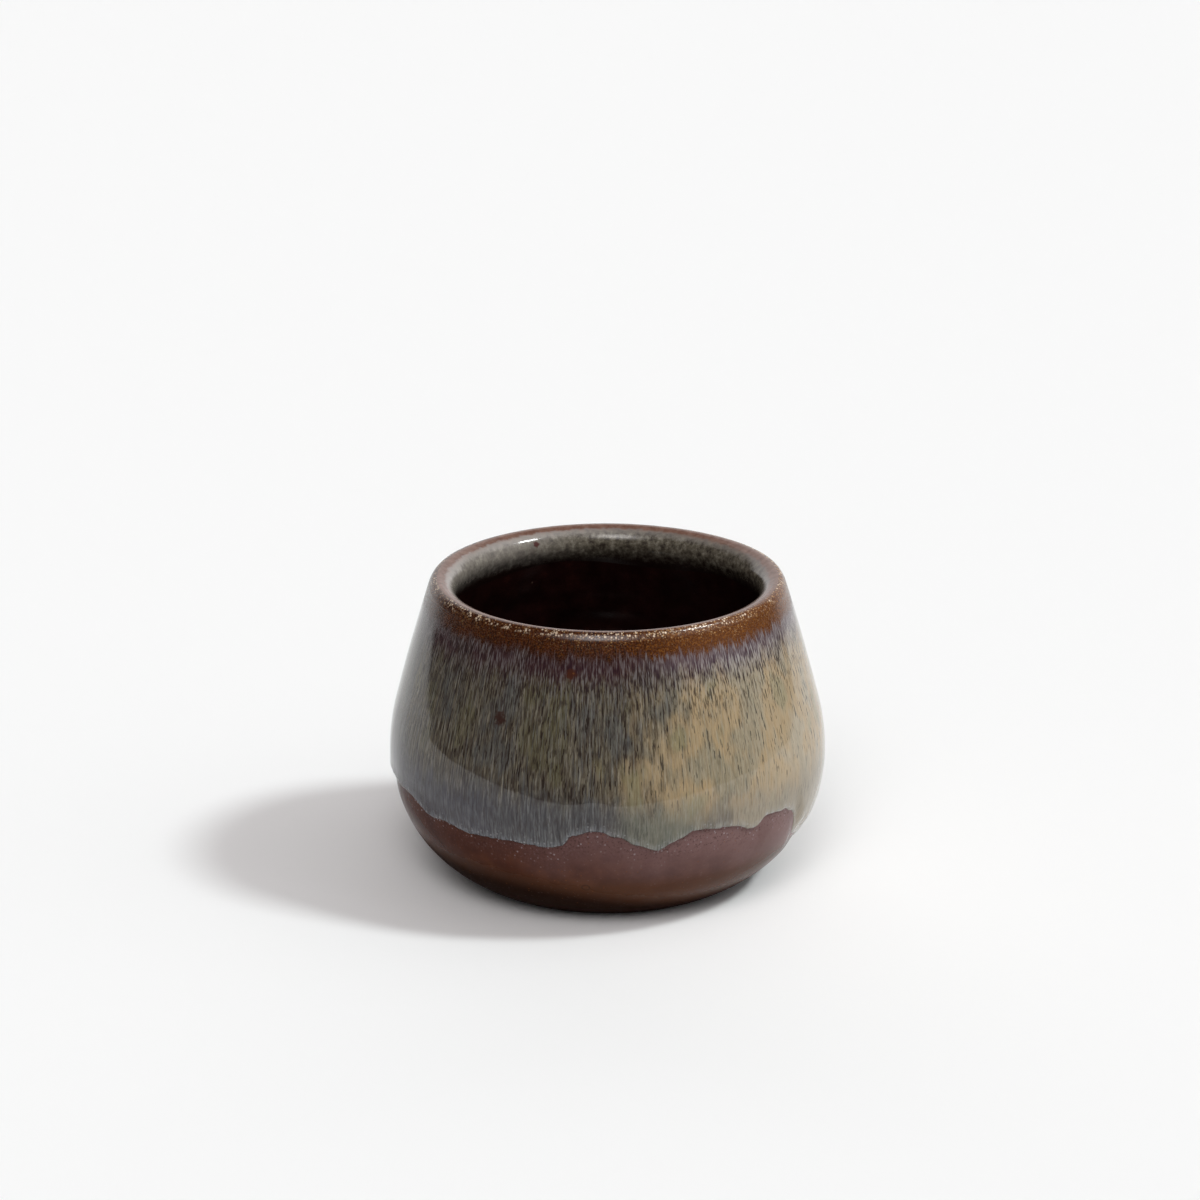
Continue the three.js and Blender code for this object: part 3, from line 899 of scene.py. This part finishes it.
def inner_slope(coat, tone):
    """The pinkish crest, then a pale strip and mottled grey that sinks into the dark liner, paler at the left
    as painted light where the inside faces the lamp, and darker deeper in partly as painted shade.
    """
    worn = coat.cloud(coat.place, 750, 3, 0.65)
    tone = coat.over(coat.reach(coat.down, -0.05, -0.35), tone, coat.tones(worn, CREST_TONES))
    speckle = coat.cloud(coat.place, 820, 4, 0.7)
    inner = coat.tones(speckle, INNER_MOTTLE)
    # Painted light on the inner left of the lip.
    inner = coat.over(coat.reach(coat.to_right, 0.0, -0.7, 0.0, 0.4), inner, PAINTED_LIGHT_INNER_LEFT)
    inward = coat.stirred(coat.down, speckle, 1.4)
    tone = coat.over(coat.reach(inward, -1.3, -2.3), tone, inner)
    strip = coat.times(coat.reach(inward, -1.3, -1.9), coat.reach(inward, -3.2, -2.3, 0.0, 0.4))
    # The strip is paler at the left as painted light.
    pale = coat.over(coat.reach(coat.to_right, 0.6, -0.6), STRIP_RIGHT, STRIP_LEFT_PAINTED_LIGHT)
    tone = coat.over(strip, tone, pale)
    # Partly the band thinning onto the liner, partly painted shade inside the cup.
    sinks = coat.stirred(coat.down, speckle, 2.2)
    return coat.over(coat.reach(sinks, -3.2, -7.8), tone, SUNK_DARK_AND_PAINTED_SHADE)


def iron_spots(coat, tone):
    for centre, size, colour in IRON_SPOTS:
        ragged = coat.maths("MULTIPLY_ADD", coat.cloud(coat.place, 1300, 2), size, coat.away(centre))
        spot = coat.reach(ragged, size * 1.25, size * 0.8)
        tone = coat.over(coat.times(spot, 0.92), tone, colour)
    return tone


STREAK_RELIEF = 0.012 * MM


def glossed(coat, tone):
    """A mirror gloss on the streaks, satin with crystals on the rust, softer over the crest and inside."""
    grainy = coat.times(coat.reach(coat.brink, 6.2, 4.2), coat.reach(coat.down, -0.1, 0.25))
    crystals = coat.cloud(coat.place, 3400, 2, 0.6)
    grain = coat.times(crystals, grainy, 2.4)
    coat.relief(coat.plus(coat.maths("MULTIPLY_ADD", coat.fine, 0.5, coat.fleck), grain), STREAK_RELIEF)
    coat.mirrors(0.42)
    satin = coat.maths("MULTIPLY_ADD", grainy, coat.reach(crystals, 0.46, 0.6, 0.26, 0.04), 0.025)
    satin = coat.plus(satin, coat.reach(coat.down, -1.5, -2.5, 0.0, 0.08))
    crest = coat.times(coat.reach(coat.down, -2.0, -1.2), coat.reach(coat.down, 0.0, -0.4))
    return coat.done(tone, coat.maths("MULTIPLY_ADD", crest, 0.12, satin))


def dressed(piece, material, node):
    piece.data.materials.append(material)
    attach(piece, "root")
    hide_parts(node)


def make_cup():
    """The clay and its coats. Each coat has so many rings of points on its face and on its seat."""
    streaks = streaked_rutile()
    clay = stoneware_body()
    brown_coat = glaze_coat("brown_glaze_coat", 90, 20, lay_brown)
    liner_coat = glaze_coat("liner_coat", 110, 30, lay_liner, to_middle=True)
    lip_coat = glaze_coat("lip_coat", 40, 12, lay_lip)
    run_coat = glaze_coat("rutile_run_coat", 140, 14, lay_rutile)
    band_coat = glaze_coat("rutile_band_coat", 40, 10, lay_band)
    dressed(clay, bare_stoneware(), "stoneware_body")
    dressed(brown_coat, brown_iron(), "outer_brown_glaze")
    dressed(liner_coat, black_liner(), "liner_glaze")
    dressed(lip_coat, streaks, "lip_glaze")
    dressed(run_coat, streaks, "rutile_glaze")
    dressed(band_coat, streaks, "rutile_inner_band")


# The camera, from the ellipses of the rim and the foot.
CAMERA_REACH = 0.8
CAMERA_RISE = math.radians(20.2)
CAMERA_AIM_HEIGHT = 30 * MM
CAMERA_DIP = math.radians(18.76)
CAMERA_YAW = math.radians(0.104)
CAMERA_LENS = 131.1
CAMERA_SENSOR = 36.0
CAMERA_NEAREST = 0.01


def make_camera():
    data = bpy.data.cameras.new("camera")
    data.lens = CAMERA_LENS
    data.sensor_width = CAMERA_SENSOR
    data.clip_start = CAMERA_NEAREST
    camera = bpy.data.objects.new("camera", data)
    back = CAMERA_REACH * math.cos(CAMERA_RISE)
    camera.location = (0.0, -back, CAMERA_AIM_HEIGHT + CAMERA_REACH * math.sin(CAMERA_RISE))
    camera.rotation_euler = (math.pi / 2 - CAMERA_DIP, 0.0, CAMERA_YAW)
    bpy.context.scene.collection.objects.link(camera)
    bpy.context.scene.camera = camera


# The table: a white sheet with rounded front corners. Past its edge the glossy glaze shows the dim room.
TABLE_FRONT = -0.18
TABLE_BACK = 2.0
TABLE_LEFT = -0.52
TABLE_RIGHT = 0.36
TABLE_CORNER = 0.24
TABLE_CORNER_STEPS = 24
TABLE_WHITE = (0.945, 0.945, 0.945)
TABLE_ROUGHNESS = 0.8
TABLE_SHINE = 0.1


def make_table():
    bm = bmesh.new()
    front = [bm.verts.new((x, TABLE_FRONT, 0.0)) for x in (TABLE_LEFT, TABLE_RIGHT)]
    back = [bm.verts.new((x, TABLE_BACK, 0.0)) for x in (TABLE_RIGHT, TABLE_LEFT)]
    bm.faces.new(front + back)
    bmesh.ops.bevel(
        bm, geom=front, offset=TABLE_CORNER, offset_type="OFFSET", affect="VERTICES",
        segments=TABLE_CORNER_STEPS, profile=0.5, material=-1,
    )
    mesh = bpy.data.meshes.new("white_table")
    bm.to_mesh(mesh)
    bm.free()
    table = bpy.data.objects.new("white_table", mesh)
    white = Finish("white_table")
    white.mirrors(TABLE_SHINE)
    mesh.materials.append(white.done(TABLE_WHITE, TABLE_ROUGHNESS))
    bpy.context.scene.collection.objects.link(table)


# The light: a lamp at the right and the wall that it lights, a soft window at the front left, a white sweep
# behind the table and a dim room. A glow has its rise, its way round from the front towards the right, its
# sharpness and its brightness.
LAMP_RISE = math.radians(50)
LAMP_ROUND = math.radians(10)
LAMP_WIDTH = math.radians(9)
LAMP_STRENGTH = 1.46
LAMP_COLOUR = (0.94, 1.0, 1.0)
WINDOW = (math.radians(47), math.radians(-8), 36, 8.8)
LIT_WALL = (math.radians(45), math.radians(80), 6, 0.95)
SWEEP_REACH = math.radians(45)
SWEEP_SOFT = 0.05
WHITE_LIGHT = 0.95
DIM_LIGHT = 0.09
ROOM_COLOUR = (1.0, 0.97, 0.968)


def make_lamp():
    data = bpy.data.lights.new("lamp_at_the_right", "SUN")
    data.energy = LAMP_STRENGTH
    data.angle = LAMP_WIDTH
    data.color = LAMP_COLOUR
    lamp = bpy.data.objects.new("lamp_at_the_right", data)
    level = math.cos(LAMP_RISE)
    towards = Vector((level * math.cos(LAMP_ROUND), -level * math.sin(LAMP_ROUND), math.sin(LAMP_RISE)))
    lamp.rotation_euler = towards.to_track_quat("Z", "Y").to_euler()
    bpy.context.scene.collection.objects.link(lamp)


def make_room():
    world = bpy.data.worlds.new("room")
    bpy.context.scene.world = world
    world.use_nodes = True
    tree = world.node_tree

    def fed(kind, values, **settings):
        node = tree.nodes.new(kind)
        for key, value in settings.items():
            setattr(node, key, value)
        for socket, value in zip(node.inputs, values):
            if isinstance(value, bpy.types.NodeSocket):
                tree.links.new(value, socket)
            else:
                socket.default_value = value
        return node.outputs

    def maths(how, *values):
        return fed("ShaderNodeMath", values, operation=how)[0]

    def soft(value, start, end):
        return fed("ShaderNodeMapRange", (value, start, end), interpolation_type="SMOOTHSTEP")[0]

    def either(share, first, second):
        return maths("ADD", first, maths("MULTIPLY", share, maths("SUBTRACT", second, first)))

    way = fed("ShaderNodeTexCoord", ())["Generated"]

    def glow(rise, around, sharpness, light):
        level = math.cos(rise)
        middle = (level * math.sin(around), -level * math.cos(around), math.sin(rise))
        towards = fed("ShaderNodeVectorMath", (way, middle), operation="DOT_PRODUCT")["Value"]
        return maths("MULTIPLY", maths("POWER", maths("MAXIMUM", towards, 0.0), sharpness), light)

    back = fed("ShaderNodeSeparateXYZ", (way,))["Y"]
    edge = math.cos(SWEEP_REACH)
    behind = soft(back, edge - SWEEP_SOFT, edge + SWEEP_SOFT)
    lights = maths("ADD", glow(*WINDOW), glow(*LIT_WALL))
    room = maths("ADD", lights, either(behind, DIM_LIGHT, WHITE_LIGHT))
    path = fed("ShaderNodeLightPath", ())
    mirrored = maths("MAXIMUM", path["Is Glossy Ray"], path["Is Transmission Ray"])
    white = maths("MAXIMUM", path["Is Camera Ray"], maths("MULTIPLY", mirrored, behind))
    background = tree.nodes["Background"]
    tree.links.new(either(white, room, WHITE_LIGHT), background.inputs["Strength"])
    tint = tree.nodes.new("ShaderNodeMix")
    tint.data_type = "RGBA"
    tree.links.new(path["Is Camera Ray"], tint.inputs["Factor"])
    tint.inputs[6].default_value = (*ROOM_COLOUR, 1.0)
    tint.inputs[7].default_value = (1.0, 1.0, 1.0, 1.0)
    tree.links.new(tint.outputs[2], background.inputs["Color"])


make_camera()
make_cup()
make_table()
make_lamp()
make_room()
bpy.context.scene.view_settings.view_transform = "Standard"
